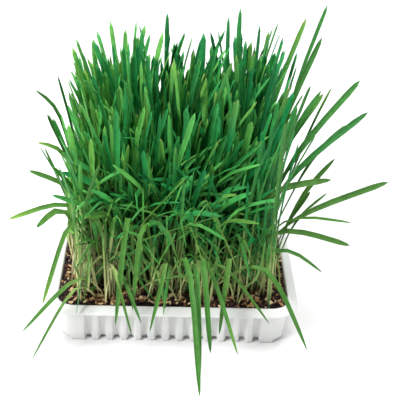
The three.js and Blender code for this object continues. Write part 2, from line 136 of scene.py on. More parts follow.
# Grass: a blade's own form, along its length and across it
CROWN_TOP = SOIL_TOP - 1.6 * MM
CROWN_CLEAR = 0.02 * MM
STATIONS = 12
STATION_CROWDING = 1.55
CORNERS = 4
RING_LIMIT = 8
STEM_WIDTH = 1.15 * MM
STEM_FOLD, LEAF_FOLD = 0.85, 0.42
STEM_THICK, LEAF_THICK = 0.7 * MM, 0.2 * MM
LEAF_EDGE = 0.05 * MM
LONGEST_POINT = 0.4
POINT_POWER = 0.62
THINNEST_TIP = 0.15
TWIST_RATE = 1.3
UPRIGHT_STEM = (0.34, 0.58)
ARCHED_STEM = (0.34, 0.52)
HANGING_STEM = (0.10, 0.26)
UPRIGHT_TIP = (6 * MM, 14 * MM)
ARCHED_TIP = (12 * MM, 20 * MM)
HANGING_TIP = (26 * MM, 46 * MM)
OPENING_SHARE = 0.32
HANGING_OPENING = 0.24

# Grass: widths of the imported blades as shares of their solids' widths, by where and how they stand
ARCHED_KEYS = 7
HANGING_HEIGHT = 65 * MM
SLIM_DEPTH = (-60 * MM, -28 * MM)
SLIMMING = (0.50, 0.88)
MAT_WIDTH = 0.78
ARCHED_WIDTH = 0.95
HANGING_WIDTH = 0.82

# Grass: where the fillers root and how far they reach; a pair is the range of a smooth change
BOX_MARGIN = 3 * MM
ROOT_HALF_LENGTH = 72 * MM
STANDING_HALF_LENGTH = 0.92 * ROOT_HALF_LENGTH
STANDING_MARGIN = 7 * MM
STANDING_FRONT = -0.6 * TRAY_HALF[1]
FRINGE_DEPTH = (-0.62, 0.0)
ARCH_DEPTH = (-0.8, -0.2)
STEM_DEPTH = (0.3, -0.7)
STEM_CROWDING = (1.25, 1.3)
SHOOT_MARGIN = 4 * MM
STEM_HALF_LENGTH = 80 * MM
FILLER_HALF_LENGTH = 77 * MM
OUTER_HALF_LENGTH = 88 * MM
MAT_MIDDLE = -12 * MM
MAT_DEPTH = (-50 * MM, 4 * MM)
MAT_HALF_LENGTH = (38 * MM, 72 * MM)
LEFT_END = (-44 * MM, -80 * MM)
TUFT = 13 * MM
TUFT_GAP = (-0.1, 0.4)
TUFT_THINNING = 0.85
MAT_THINNING = 0.94

# Grass: heights, leans, bends and twists of the fillers; a bow and a knee are shares of lean and height
TALL_HEIGHT = 180 * MM
MAT_HEIGHT = 112 * MM
HEIGHT_SPREAD = (0.66, 1.06)
TUFT_SWING = 0.13
LEFT_DROP = 0.18
BENDING_SHARE = 0.1
BENDING_HEIGHT = 0.84
BENDING_KNEE, UPRIGHT_KNEE = 0.74, (0.5, 0.62)
BENDING_SPREAD, UPRIGHT_SPREAD = 0.2, 0.105
EVEN_LEAN = 3 * MM
END_LEAN = 16 * MM
LEFT_LEAN = 10 * MM
LEFT_LEAN_FROM = (-20 * MM, -66 * MM)
BACK_LEAN = 6 * MM
FRONT_LEAN = 14 * MM
STANDING_SWAY = (1.0, 0.9)
STANDING_BOW = (0.05, 0.4)
STANDING_TWIST = 0.6
FRINGE_OUTWARD = 0.8
FRINGE_TURN, FRINGE_TWIST = 0.7, 0.5
FRINGE_RISE = np.array([(0, -22, 56), (10, -6, 100)]) * MM
FRINGE_REACH = np.array([(4, -18, -18), (34, 4, 30)]) * MM
STEM_HEIGHT = (45 * MM, 125 * MM)
STEM_LEAN = 36 * MM
STEM_FORWARD = 4 * MM
STEM_BOW, STEM_KNEE, STEM_TWIST = (0.1, 0.9), 0.52, 0.8
ARCH_HEADING = (-np.pi, 0.15 * np.pi)
ARCH_FORWARD = 0.5
ARCH_TWIST = 0.7
ARCH_OUT, ARCH_UP = (8 * MM, 22 * MM), (40 * MM, 104 * MM)
HANG_OUT, HANG_DOWN = (16 * MM, 52 * MM), (6 * MM, 56 * MM)
SHOOT_HEIGHT = (14 * MM, 70 * MM)
SHOOT_LEAN, SHOOT_BOW, SHOOT_KNEE, SHOOT_TWIST = 0.4, 0.35, 0.55, 0.8

# Grass: its tints and colours; a pair of places is the range of a smooth change
GREEN_REACH = 150 * MM
GREEN_POWER = 1.3
# Painted shade on the grass, near black low in the middle of the stand: where it fades in from the sides,
# where it fades out with height, and its strength
INNER_DEPTH = (14 * MM, 38 * MM)
INNER_HEIGHT = (55 * MM, 150 * MM)
INNER_SHADE = 0.75
OUTER_PAST = (-4 * MM, 16 * MM)
LEFT_SIDE = (-20 * MM, -75 * MM)
RIGHT_SIDE = (15 * MM, 65 * MM)
THIN_WIDTH = 2.6 * MM
DRY_SHARE = 0.18
DRYNESS = (0.15, 0.6)
THIN_PALENESS = (0.0, 0.42)
LEAF_PALENESS = (-0.05, 0.15)
BACK_PALENESS, FRONT_PALENESS = 0.3, 0.7
LEFT_BLEACHING = 0.5
TONES = (0.6, 0.85)
LEAF_LIGHTENING, THIN_LIGHTENING = 0.6, 0.7
RIGHT_DEEPENING = 0.16
FRONT_DEEPENING = 0.25
OUTER_DEEPENING = 0.6
WARMTH, WARMTH_SPREAD, WARMEST = -0.25, 0.25, 0.85
OUTER_WARMTH, HIGH_COOLING = 0.9, 0.3
OUTER_TONE_SPARED, OUTER_WARMTH_SPARED, OUTER_BLEACH_SPARED = 0.9, 0.7, 0.75
HIGH_TIP = (0.7 * TALL_HEIGHT, 1.1 * TALL_HEIGHT)
SUNLIT_GREEN = (0.200, 0.47, 0.08)
WARM_GREEN = (0.090, 0.192, 0.032)
VEIN_GREEN = (0.085, 0.44, 0.08)
MIDRIB_GREEN = (0.095, 0.44, 0.08)
# Pale margin colour, partly the leaf's own paler margin and partly a painted edge highlight
MARGIN_HIGHLIGHT_GREEN = (0.19, 0.50, 0.12)
DRY_YELLOW = (0.30, 0.55, 0.08)
DRY_BROWN = (0.42, 0.34, 0.13)
# Colour of the painted shade low in the middle of the stand
PAINTED_SHADE_GREEN = (0.004, 0.018, 0.004)
VEINS = 22.0

# Camera found from the tray's edges in the photograph
CAMERA_PLACE = np.array([-8.3, -800.8, 522.2]) * MM
CAMERA_PITCH = 28.0
CAMERA_YAW = 2.06
CAMERA_ROLL = 2.24
FOCAL_PIXELS = 1090.0
PHOTO_SIDE = 400
SENSOR = 36.0
CLIP_NEAR, CLIP_FAR = 0.05, 20.0

# Floor and lights; each light has its name, place, target, side and power
FLOOR_HALF = 6.0
SKY_STRENGTH = 0.07
LIGHTS = (
    ("top", (0.0, 0.3, 2.2), (0, 0.1, 0), 2.2, 76),
    ("key", (-0.88, -0.82, 1.1), (0, 0, 0.1), 0.5, 19.5),
    ("fill", (1.3, 0.1, 0.5), (0, 0, 0.05), 0.8, 5),
)


def smoothstep(low, high, x):
    """0 below low, 1 above high, and a smooth cubic between them."""
    t = np.clip((x - low) / (high - low), 0.0, 1.0)
    return t * t * (3.0 - 2.0 * t)


def unit(vectors):
    """Vectors divided by their length."""
    return vectors / np.maximum(np.linalg.norm(vectors, axis=-1, keepdims=True), 1e-12)


def value_noise(x, y, size, seed):
    """Smooth noise from -1 to 1: random heights on a square lattice of the given size, blended
    between the four nearest lattice points by a smooth cubic."""
    lattice = np.random.default_rng(seed).uniform(-1, 1, (64, 64))
    gx, gy = x / size + 32.0, y / size + 32.0
    ix, iy = np.floor(gx).astype(int), np.floor(gy).astype(int)
    fx, fy = smoothstep(0, 1, gx - ix), smoothstep(0, 1, gy - iy)
    corner = lambda dx, dy: lattice[(ix + dx) % 64, (iy + dy) % 64]
    low = corner(0, 0) * (1 - fx) + corner(1, 0) * fx
    high = corner(0, 1) * (1 - fx) + corner(1, 1) * fx
    return low * (1 - fy) + high * fy


def grid_faces(rows, columns):
    """Quads between neighbouring rows of a grid of points, where every row is a closed ring."""
    row = np.arange(rows - 1)[:, None] * columns
    column = np.arange(columns)[None, :]
    right = (column + 1) % columns
    quads = np.stack([row + column, row + right, row + columns + right, row + columns + column], -1)
    return quads.reshape(-1, 4)


def closed_faces(rows, columns):
    """Quads of a grid of rings, facing outwards, and one face each over the first and the last ring."""
    first = list(range(columns))
    last = list(range(rows * columns - 1, (rows - 1) * columns - 1, -1))
    return grid_faces(rows, columns)[:, ::-1].tolist() + [first, last]


def add_piece(name, points, faces, material, slot, replaced=(), values=None, smooth=True):
    """A mesh object at the origin, from points, face index rows and named values on its points."""
    mesh = bpy.data.meshes.new(name)
    mesh.from_pydata(points.reshape(-1, 3).tolist(), [], faces)
    mesh.polygons.foreach_set("use_smooth", np.full(len(mesh.polygons), smooth))
    for key, value in (values or {}).items():
        attribute = mesh.attributes.new(key, "FLOAT", "POINT")
        attribute.data.foreach_set("value", np.ascontiguousarray(value, np.float32).ravel())
    mesh.materials.append(material)
    piece = bpy.data.objects.new(name, mesh)
    bpy.context.scene.collection.objects.link(piece)
    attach(piece, "root")
    if replaced:
        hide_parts(*replaced)
    return piece


# Materials

class Shader:
    """A material's node tree, with short calls for the nodes that the finishes below share."""

    def __init__(self, name):
        self.material = bpy.data.materials.new(name)
        self.material.use_nodes = True
        self.nodes = self.material.node_tree.nodes
        self.links = self.material.node_tree.links
        self.surface = self.nodes["Principled BSDF"]

    def node(self, kind, links=None, **settings):
        """A node with its settings, and its sockets linked to an output or set to a value."""
        made = self.nodes.new(kind)
        for key, value in settings.items():
            setattr(made, key, value)
        for socket, source in (links or {}).items():
            if hasattr(source, "is_output"):
                self.links.new(source, made.inputs[socket])
            else:
                made.inputs[socket].default_value = source
        return made

    def value(self, name):
        """A named value of the mesh's points."""
        return self.node("ShaderNodeAttribute", attribute_name=name).outputs["Fac"]

    def place(self):
        """The point's place on the object."""
        return self.node("ShaderNodeTexCoord").outputs["Object"]

    def noise(self, scale, detail=3.0):
        """Noise over the object, mostly from 0.3 to 0.7."""
        links = {"Vector": self.place(), "Scale": scale, "Detail": detail}
        return self.node("ShaderNodeTexNoise", links).outputs["Fac"]

    def math(self, operation, a, b=0.0):
        """Arithmetic on two values, or a function of the first."""
        return self.node("ShaderNodeMath", {0: a, 1: b}, operation=operation).outputs[0]

    def span(self, source, low, high, to_low=0.0, to_high=1.0):
        """A value's range carried to another range and cut at its ends."""
        links = {0: source, 1: low, 2: high, 3: to_low, 4: to_high}
        return self.node("ShaderNodeMapRange", links, clamp=True).outputs[0]

    def ramp(self, source, stops):
        """A colour blended between stops, each a position and a colour."""
        made = self.node("ShaderNodeValToRGB", {"Fac": source})
        elements = made.color_ramp.elements
        while len(elements) < len(stops):
            elements.new(1.0)
        for element, (position, colour) in zip(elements, stops):
            element.position = position
            element.color = (*colour, 1.0)
        return made.outputs["Color"]

    def mix(self, share, a, b, blend="MIX"):
        """Two colours blended by a share."""
        made = self.node("ShaderNodeMix", data_type="RGBA", blend_type=blend)
        for socket, source in ((0, share), (6, a), (7, b)):
            if hasattr(source, "is_output"):
                self.links.new(source, made.inputs[socket])
            elif isinstance(source, tuple):
                made.inputs[socket].default_value = (*source, 1.0)
            else:
                made.inputs[socket].default_value = source
        return made.outputs[2]

    def bump(self, height, distance, strength):
        """Fine relief of the surface from a height."""
        links = {"Height": height, "Distance": distance, "Strength": strength}
        self.links.new(self.node("ShaderNodeBump", links).outputs[0], self.surface.inputs["Normal"])

    def set(self, **sockets):
        """The surface's own sockets, linked to an output or set to a value."""
        for name, source in sockets.items():
            socket = self.surface.inputs[name.replace("_", " ")]
            if hasattr(source, "is_output"):
                self.links.new(source, socket)
            else:
                socket.default_value = source


def leaf_material():
    """Wheat leaf: pale at the stem, deeper green along the blade, lengthwise veins, pale margins partly
    painted as an edge highlight, and painted shade low in the middle of the stand.
    """
    s = Shader("wheat_leaf")
    reach = s.value("green")
    deep = s.ramp(reach, [
        (0.0, (0.58, 0.55, 0.26)),
        (0.24, (0.34, 0.47, 0.14)),
        (0.48, (0.020, 0.21, 0.045)),
        (0.70, (0.003, 0.185, 0.048)),
        (1.0, (0.004, 0.190, 0.056)),
    ])
    light = s.ramp(reach, [
        (0.0, (0.92, 0.86, 0.52)),
        (0.24, (0.64, 0.77, 0.31)),
        (0.48, (0.19, 0.46, 0.085)),
        (0.70, (0.072, 0.47, 0.100)),
        (1.0, (0.076, 0.47, 0.110)),
    ])
    green = s.mix(s.value("tone"), deep, light)
    sunlit = s.math("MULTIPLY", s.span(s.value("tone"), 0.5, 1.0, 0.0, 0.6), s.span(reach, 0.3, 0.6))
    green = s.mix(sunlit, green, SUNLIT_GREEN)
    warm = s.math("MULTIPLY", s.value("warm"), s.span(reach, 0.1, 0.5))
    green = s.mix(warm, green, WARM_GREEN)
    mottle = s.span(s.noise(190.0), 0.3, 0.7, 0.8, 1.18)
    grey = s.node("ShaderNodeCombineColor", {0: mottle, 1: mottle, 2: mottle}).outputs[0]
    green = s.mix(1.0, green, grey, "MULTIPLY")
    vein = s.math("SINE", s.math("MULTIPLY", s.value("across"), VEINS))
    green = s.mix(s.span(vein, 0.2, 1.0, 0.0, 0.14), green, VEIN_GREEN)
    off = s.math("ABSOLUTE", s.value("across"))
    green = s.mix(s.span(off, 0.0, 0.14, 0.35, 0.0), green, MIDRIB_GREEN)
    # Pale margins along both edges: partly the leaf's own paler margin, partly a painted edge highlight
    green = s.mix(s.span(off, 0.8, 1.0, 0.0, 0.28), green, MARGIN_HIGHLIGHT_GREEN)
    yellow = s.math("MULTIPLY", s.span(s.value("along"), 0.78, 1.0), s.value("dry"))
    green = s.mix(yellow, green, DRY_YELLOW)
    brown = s.math("MULTIPLY", s.span(s.value("along"), 0.965, 1.0), s.value("dry"))
    green = s.mix(brown, green, DRY_BROWN)
    # Painted shade: blades turn near black low in the middle of the stand
    green = s.mix(s.value("painted_shade"), green, PAINTED_SHADE_GREEN)
    s.set(Base_Color=green, Roughness=s.span(s.noise(320.0), 0.3, 0.7, 0.36, 0.52))
    s.set(Specular_IOR_Level=0.12)
    s.bump(vein, 0.05 * MM, 0.5)
    return s.material


def plastic_material():
    """Thin white moulded plastic: faint blotches of wall thickness and a fine satin grain."""
    s = Shader("white_plastic")
    blotch = s.noise(38.0, 4.0)
    s.set(Base_Color=s.ramp(blotch, [(0.3, (0.76, 0.765, 0.755)), (0.7, (0.81, 0.815, 0.805))]))
    s.set(Roughness=s.span(s.noise(420.0), 0.3, 0.7, 0.34, 0.5))
    s.set(Specular_IOR_Level=0.45)
    s.bump(s.noise(900.0, 2.0), 0.03 * MM, 0.35)
    return s.material


def soil_material():
    """Damp growing mix: each crumb has its own shade, from near black to tan, with fine grain."""
    s = Shader("growing_mix")
    grain = s.noise(900.0, 6.0)
    shade = s.math("ADD", s.value("shade"), s.span(grain, 0.25, 0.75, -0.10, 0.10))
    s.set(Base_Color=s.ramp(shade, [
        (0.0, (0.010, 0.006, 0.009)),
        (0.3, (0.045, 0.022, 0.022)),
        (0.52, (0.170, 0.075, 0.040)),
        (0.74, (0.520, 0.310, 0.130)),
        (1.0, (0.920, 0.740, 0.450)),
    ]))
    s.set(Roughness=s.span(grain, 0.3, 0.7, 0.68, 0.95), Specular_IOR_Level=0.25)
    s.bump(grain, 0.4 * MM, 0.6)
    return s.material


# Tray

def tray_outline(step):
    """Points, outward normals and flute and corner masks round the tray's outline.

    The outline is a rounded rectangle walked at equal steps: straight sides joined by quarter arcs.
    A flute's mask is 1 in the groove and falls smoothly to 0 on the ribs beside it; the corner's
    mask is 1 on the rounded corner past the last rib."""
    straight = 2 * (TRAY_HALF - TRAY_CORNER)
    arc = TRAY_CORNER * np.pi / 2
    lengths = np.array([straight[1], arc, straight[0], arc] * 2)
    starts = np.concatenate([[0], np.cumsum(lengths)])
    s = np.linspace(0, starts[-1], int(starts[-1] / step), endpoint=False)
    part = np.searchsorted(starts, s, side="right") - 1
    share = (s - starts[part]) / lengths[part]
    angle = (part // 2 + (part % 2) * share) * np.pi / 2
    normal = np.stack([np.cos(angle), np.sin(angle)], -1)
    sign_x = np.where((part == 0) | (part == 1) | (part == 7), 1, -1)
    sign_y = np.where((part == 1) | (part == 2) | (part == 3), 1, -1)
    run = np.where(part % 2 == 0, 2 * share - 1, 0)
    centre_x = np.where(part == 2, -run, np.where(part == 6, run, sign_x)) * straight[0] / 2
    centre_y = np.where(part == 0, run, np.where(part == 4, -run, sign_y)) * straight[1] / 2
    base = np.stack([centre_x, centre_y], -1) + TRAY_CORNER * normal
    along = np.where(np.isin(part, (2, 6)), base[:, 0], base[:, 1])
    count = np.where(np.isin(part, (2, 6)), FLUTES_ALONG, FLUTES_ACROSS)
    gap = np.abs((along / FLUTE_PITCH + 0.5) % 1 - 0.5) * FLUTE_PITCH
    flute = 1 - smoothstep(FLUTE_WIDTH / 2 - FLUTE_SOFT, FLUTE_WIDTH / 2 + FLUTE_SOFT, gap)
    flute = flute * (np.abs(along) < count * FLUTE_PITCH / 2) * (part % 2 == 0)
    past = np.abs(base) - (TRAY_HALF - CORNER_RIB_END)
    corner = smoothstep(-CORNER_SOFT, CORNER_SOFT, past.min(1))
    return base, normal, flute, corner


def tray_shell():
    """The tray as one closed skin: a profile of offsets and heights carried round the outline.

    The profile goes up the inside of the wall, over the rim, down the sloping lip, back under it,
    down the drafted outside and under the foot. In a flute the wall moves in by the flute's depth,
    fading out below the lip, and the foot rises to a notch."""
    base, normal, flute, corner = tray_outline(OUTLINE_STEP)
    foot = NOTCH_HEIGHT * np.maximum(flute, corner)
    inset = lambda z: DRAFT * (TRAY_HEIGHT - z)
    groove = lambda z: FLUTE_DEPTH * flute * (1 - smoothstep(FLUTE_TOP - FLUTE_FADE, FLUTE_TOP, z))
    rows = []

    def row(offset, z):
        z = np.broadcast_to(z, flute.shape)
        rows.append(np.column_stack([base + normal * np.broadcast_to(offset, flute.shape)[:, None], z]))

    deep = inset(0) + FLUTE_DEPTH + NOTCH_DEPTH
    row(-deep - WALL - FLOOR_ROUND, WALL)
    row(-deep - WALL, foot + WALL)
    for z in np.linspace(0, 1, INSIDE_ROWS) * (TRAY_HEIGHT - RIM_INSIDE - NOTCH_HEIGHT - WALL):
        z = z + (foot + WALL) * (1 - z / TRAY_HEIGHT)
        row(-inset(z) - groove(z) - WALL, z)
    for offset, drop in RIM_POINTS:
        row(offset, TRAY_HEIGHT - drop)
    slope = (LIP_DROP - LIP_THICK) / LIP_REACH
    for share in LIP_SHARES:
        row(share * LIP_REACH, TRAY_HEIGHT - slope * share * LIP_REACH)
    edge = TRAY_HEIGHT - LIP_DROP
    for back, rise in EDGE_POINTS:
        row(LIP_REACH - back, edge + rise * LIP_THICK)
    row(0.5 * LIP_REACH, edge + 0.5 * slope * LIP_REACH)
    row(LIP_ROOT[0], TRAY_HEIGHT - LIP_ROOT[1])
    for share in np.linspace(0, 1, OUTSIDE_ROWS):
        z = WALL_TOP + (foot + WALL_END - WALL_TOP) * share
        row(-inset(z) - groove(z), z)
    for back, rise in FOOT_POINTS:
        row(-inset(0) - FLUTE_DEPTH * flute - back, foot + rise)
    row(-deep, foot)
    row(-deep - BASE_ROUND, 0.0)
    return np.stack(rows), closed_faces(len(rows), len(flute))


# Growing mix

def soil_bed():
    """The bed as one closed skin: the tray's outline scaled from its middle to the rim, raised by
    noise of three sizes, then carried down inside the wall to the floor."""
    base, normal, _, _ = tray_outline(SOIL_STEP)
    rim = base - normal * (WALL + SOIL_GAP)
    share = np.linspace(SOIL_MIDDLE, 1.0, SOIL_RINGS)[:, None, None]
    top = share * rim[None]
    x, y = top[..., 0], top[..., 1]
    lumpy = enumerate(SOIL_LUMPS, 1)
    rough = sum(height * value_noise(x, y, size, seed) for seed, (size, height) in lumpy)
    edge = smoothstep(1.0, SOIL_EDGE, share[..., 0])
    z = SOIL_TOP - SOIL_SINK + edge * (SOIL_SWELL + rough)
    flat = lambda height: np.full((len(base), 1), height)
    skirt = np.stack([np.hstack([base - normal * inset, flat(height)]) for inset, height in SOIL_SKIRT])
    points = np.concatenate([np.concatenate([top, z[..., None]], -1), skirt])
    shade = np.full(points.shape[:2], SKIRT_SHADE)
    shade[:SOIL_RINGS] = BED_SHADE + BED_SHADE_SWING * value_noise(x, y, BED_SHADE_SIZE, 5)
    return points, closed_faces(*points.shape[:2]), {"shade": shade}


def lump_shape():
    """Corners and faces of an icosahedron of radius 1, the start of every crumb."""
    g = (1 + 5 ** 0.5) / 2
    corners = np.array([
        (-1, g, 0), (1, g, 0), (-1, -g, 0), (1, -g, 0), (0, -1, g), (0, 1, g),
        (0, -1, -g), (0, 1, -g), (g, 0, -1), (g, 0, 1), (-g, 0, -1), (-g, 0, 1),
    ]) / np.hypot(1, g)
    faces = np.array([
        (0, 11, 5), (0, 5, 1), (0, 1, 7), (0, 7, 10), (0, 10, 11), (1, 5, 9), (5, 11, 4),
        (11, 10, 2), (10, 7, 6), (7, 1, 8), (3, 9, 4), (3, 4, 2), (3, 2, 6), (3, 6, 8),
        (3, 8, 9), (4, 9, 5), (2, 4, 11), (6, 2, 10), (8, 6, 7), (9, 8, 1),
    ])
    return corners, faces


def turned(count, tilt):
    """Random turns as (count, 3, 3): tilts up to an angle about X and Y, then any turn about Z."""
    a, b = rng.uniform(-tilt, tilt, (2, count))
    c = rng.uniform(0, 2 * np.pi, count)
    one, nil = np.ones(count), np.zeros(count)
    about_x = np.array([[one, nil, nil], [nil, np.cos(a), -np.sin(a)], [nil, np.sin(a), np.cos(a)]])
    about_y = np.array([[np.cos(b), nil, np.sin(b)], [nil, one, nil], [-np.sin(b), nil, np.cos(b)]])
    about_z = np.array([[np.cos(c), -np.sin(c), nil], [np.sin(c), np.cos(c), nil], [nil, nil, one]])
    return np.einsum("ijn,jkn,kln->nil", about_z, about_y, about_x)


def scatter(count, margin):
    """Random places on the soil, kept inside the rounded outline by the given margin."""
    half = TRAY_HALF - WALL - margin
    spots = rng.uniform(-1, 1, (4 * count, 2)) * half
    past = np.maximum(np.abs(spots) - (half - TRAY_CORNER), 0)
    return spots[np.hypot(past[:, 0], past[:, 1]) < TRAY_CORNER][:count]


def lumps(count, sizes, tilt, shades, lift, margin=1.5 * MM, rough=0.22):
    """Many small solids, as points, faces and shades: an icosahedron with its corners pushed in and out
    at random by the rough share, stretched between two sizes, turned, and lifted onto the soil."""
    corners, faces = lump_shape()
    spots = scatter(count, margin)
    count = len(spots)
    low, high = sizes / 2
    size = low + (high - low) * rng.uniform(0, 1, (count, 1, 1)) ** SIZE_CROWDING
    shape = corners * (1 + rng.uniform(-rough, rough, (count, len(corners), 1))) * size
    points = np.einsum("nij,nkj->nki", turned(count, tilt), shape)
    points[..., :2] += spots[:, None]
    points[..., 2] += SOIL_TOP + lift * rng.uniform(*LIFT_SPREAD, (count, 1))
    shade = np.repeat(rng.uniform(*shades, count), len(corners))
    index = faces[None] + np.arange(count)[:, None, None] * len(corners)
    return points.reshape(-1, 3), index.reshape(-1, 3), shade


def soil_litter():
    """Crumbs, husks, seeds and bits of straw that cover the bed, in one mesh."""
    kinds = (
        lumps(CRUMBS, CRUMB_SIZES, np.pi, shades=(0.0, 0.42), lift=0.9 * MM),
        lumps(HUSKS, HUSK_SIZES, 1.2, shades=(0.42, 1.0), lift=2.2 * MM, rough=0.25),
        lumps(SEEDS, SEED_SIZES, 0.5, shades=(0.62, 0.95), lift=2.0 * MM, margin=3.5 * MM, rough=0.05),
        lumps(STRAWS, STRAW_SIZES, 0.25, shades=(0.78, 1.0), lift=2.6 * MM, margin=9 * MM, rough=0.05),
    )
    points = np.concatenate([kind[0] for kind in kinds])
    starts = np.cumsum([0] + [len(kind[0]) for kind in kinds[:-1]])
    faces = np.concatenate([kind[1] + start for kind, start in zip(kinds, starts)])
    return points, faces.tolist(), {"shade": np.concatenate([kind[2] for kind in kinds])}


# Grass

def cad_blades(node):
    """The blades of one packed clump, as (path points, widths, keel directions) of each group of blades
    with the same number of rings.

    Corners at one place are merged. A blade's tip is the corner with three neighbours above the
    crown, and its rings of three corners follow at one, two, three edges from it. In each ring the
    longest edge is the blade's width and the corner across from it is the keel."""
    mesh = node.data
    corners = np.empty(len(mesh.vertices) * 3)
    mesh.vertices.foreach_get("co", corners)
    index = np.empty(len(mesh.loops), int)
    mesh.loops.foreach_get("vertex_index", index)
    points, same = np.unique(corners.reshape(-1, 3).round(7), axis=0, return_inverse=True)
    tri = same.reshape(-1)[index].reshape(-1, 3)
    edges = np.concatenate([tri[:, [0, 1]], tri[:, [1, 2]], tri[:, [2, 0]]])
    edges = np.unique(np.concatenate([edges, edges[:, ::-1]]), axis=0)
    outside = (np.abs(points[:, :2]) > TRAY_HALF).any(1)
    free = outside | (points[:, 2] > CROWN_TOP + CROWN_CLEAR)
    tips = np.flatnonzero(free & (np.bincount(edges[:, 0], minlength=len(points)) == 3))
    level = np.full(len(points), RING_LIMIT)
    blade = np.full(len(points), -1)
    level[tips] = 0
    blade[tips] = np.arange(len(tips))
    a, b = edges[free[edges].all(1)].T
    for step in range(1, RING_LIMIT):
        reached = (level[a] == step - 1) & (level[b] > step)
        level[b[reached]] = step
        blade[b[reached]] = blade[a[reached]]
    rings = np.array([level[blade == k].max() for k in range(len(tips))])
    down = edges[free[edges[:, 0]] & ~free[edges[:, 1]]]
    found = []
    for count in np.unique(rings):
        group = np.flatnonzero(rings == count)
        member = np.flatnonzero(np.isin(blade, group) & (level > 0))
        order = member[np.lexsort((level[member], blade[member]))].reshape(len(group), count, 3)
        ring = points[order[:, ::-1]]
        sides = np.linalg.norm(ring - np.roll(ring, -1, axis=2), axis=-1)
        keel_at = (sides.argmax(-1) + 2) % 3
        keel = np.take_along_axis(ring, keel_at[..., None, None], axis=2)[:, :, 0]
        middle = (ring.sum(2) - keel) / 2
        root = np.stack([points[down[blade[down[:, 0]] == k, 1]].mean(0) for k in group])
        path = np.concatenate([root[:, None], middle, points[tips[group]][:, None]], axis=1)
        found.append((path, sides.max(-1).max(1), unit(keel - middle)))
    return found


def through(keys, t):
    """Smooth curves through key points: cubic pieces between keys spaced by their distances, whose
    slope at a key is the slope between its neighbours. Returns points and directions at shares t."""
    gaps = np.linalg.norm(np.diff(keys, axis=1), axis=-1)
    knots = np.concatenate([np.zeros((len(keys), 1)), np.cumsum(gaps, 1)], 1)
    knots = knots / knots[:, -1:]
    padded = np.concatenate([keys[:, :1], keys, keys[:, -1:]], 1)
    spaced = np.concatenate([knots[:, :1], knots, knots[:, -1:]], 1)
    slope = (padded[:, 2:] - padded[:, :-2]) / (spaced[:, 2:] - spaced[:, :-2])[..., None]
    piece = np.clip((knots[:, None, :] <= t[None, :, None]).sum(-1) - 1, 0, keys.shape[1] - 2)
    pick = lambda values, shift: np.take_along_axis(values, (piece + shift)[..., None], axis=1)
    start, end = pick(keys, 0), pick(keys, 1)
    k0, k1 = pick(knots[..., None], 0), pick(knots[..., None], 1)
    m0, m1 = pick(slope, 0) * (k1 - k0), pick(slope, 1) * (k1 - k0)
    u = (t[None, :, None] - k0) / (k1 - k0)
    curve = ((2 * u**3 - 3 * u**2 + 1) * start + (u**3 - 2 * u**2 + u) * m0
             + (3 * u**2 - 2 * u**3) * end + (u**3 - u**2) * m1)
    rate = ((6 * u**2 - 6 * u) * start + (3 * u**2 - 4 * u + 1) * m0
            + (6 * u - 6 * u**2) * end + (3 * u**2 - 2 * u) * m1)
    return curve, unit(rate)


def stations():
    """Shares along a blade, closer together towards the tip."""
    return 1 - (1 - np.linspace(0, 1, STATIONS)) ** STATION_CROWDING


def bent(root, bend, tip, turn):
    """Blades that follow a stem up to a bend and there turn to the tip: cubic curves whose two inner
    control points are both at the bend. A blade lies flat across its bend and twists by the turn."""
    t = stations()[None, :, None]
    start, knee, end = root[:, None], bend[:, None], tip[:, None]
    path = (1 - t) ** 3 * start + (1 - (1 - t) ** 3 - t**3) * knee + t**3 * end
    along = unit((1 - t) ** 2 * (knee - start) + t**2 * (end - knee))
    travel = (tip - root)[:, None]
    across = unit(np.concatenate([-travel[..., 1:2], travel[..., :1], 0 * travel[..., :1]], -1))
    side = unit(across - (across * along).sum(-1, keepdims=True) * along)
    back = np.cross(along, side)
    angle = turn[:, None, None] * np.minimum(1, TWIST_RATE * t)
    return path, along, np.cos(angle) * back - np.sin(angle) * side


def blade_points(path, along, back, width, stem, opens, point):
    """Skins of many blades at once, as (blade, station, corner).

    Across the blade the corners are an edge, the midrib and the other edge on the upper face, and the
    keel below. Up to its stem share a blade is a narrow folded stem; it then opens to its width over
    the next share, and closes over its point length nearly as a quarter of an ellipse. Also returns how
    green each corner is, by its distance from the root, its share of the length and its place across."""
    back = unit(back - (back * along).sum(-1, keepdims=True) * along)
    side = np.cross(back, along)
    steps = np.linalg.norm(np.diff(path, axis=1), axis=-1)
    rise = np.concatenate([np.zeros((len(path), 1)), np.cumsum(steps, 1)], 1)
    length = rise[:, -1:]
    stem = stem[:, None] * length
    opening = smoothstep(stem, stem + opens[:, None] * length, rise)
    left = np.clip((length - rise) / np.minimum(point[:, None], LONGEST_POINT * length), 0, 1)
    closing = (1 - (1 - left) ** 2) ** POINT_POWER
    thin = np.minimum(STEM_WIDTH, width)[:, None] / 2
    half = (thin + (width[:, None] / 2 - thin) * opening) * closing + LEAF_EDGE
    fold = STEM_FOLD + (LEAF_FOLD - STEM_FOLD) * opening
    thick = (STEM_THICK + (LEAF_THICK - STEM_THICK) * opening) * np.maximum(closing, THINNEST_TIP)
    across = np.array([-1, 0, 1, 0.0])
    dip = np.array([0, 1, 0, 1.0])
    keel = np.array([0, 0, 0, 1.0])
    depth = (fold * half)[..., None] * dip + thick[..., None] * keel
    points = path[:, :, None] + side[:, :, None] * (half[..., None] * across)[..., None]
    points = points + back[:, :, None] * depth[..., None]
    shape = points.shape[:3]
    wide = lambda values: np.broadcast_to(values, shape)
    share = rise / length
    green = np.maximum(rise / GREEN_REACH, share**GREEN_POWER)
    values = {"green": green[..., None], "along": share[..., None], "across": across}
    return points, {key: wide(value) for key, value in values.items()}


def blade_faces(blades):
    """Quads round each blade from station to station, and a quad to close its root and its tip."""
    ring = grid_faces(STATIONS, CORNERS)
    root = np.arange(CORNERS)[None, ::-1]
    tip = (STATIONS - 1) * CORNERS + np.arange(CORNERS)[None]
    one = np.concatenate([ring, root, tip])
    return (one[None] + np.arange(blades)[:, None, None] * STATIONS * CORNERS).reshape(-1, 4)


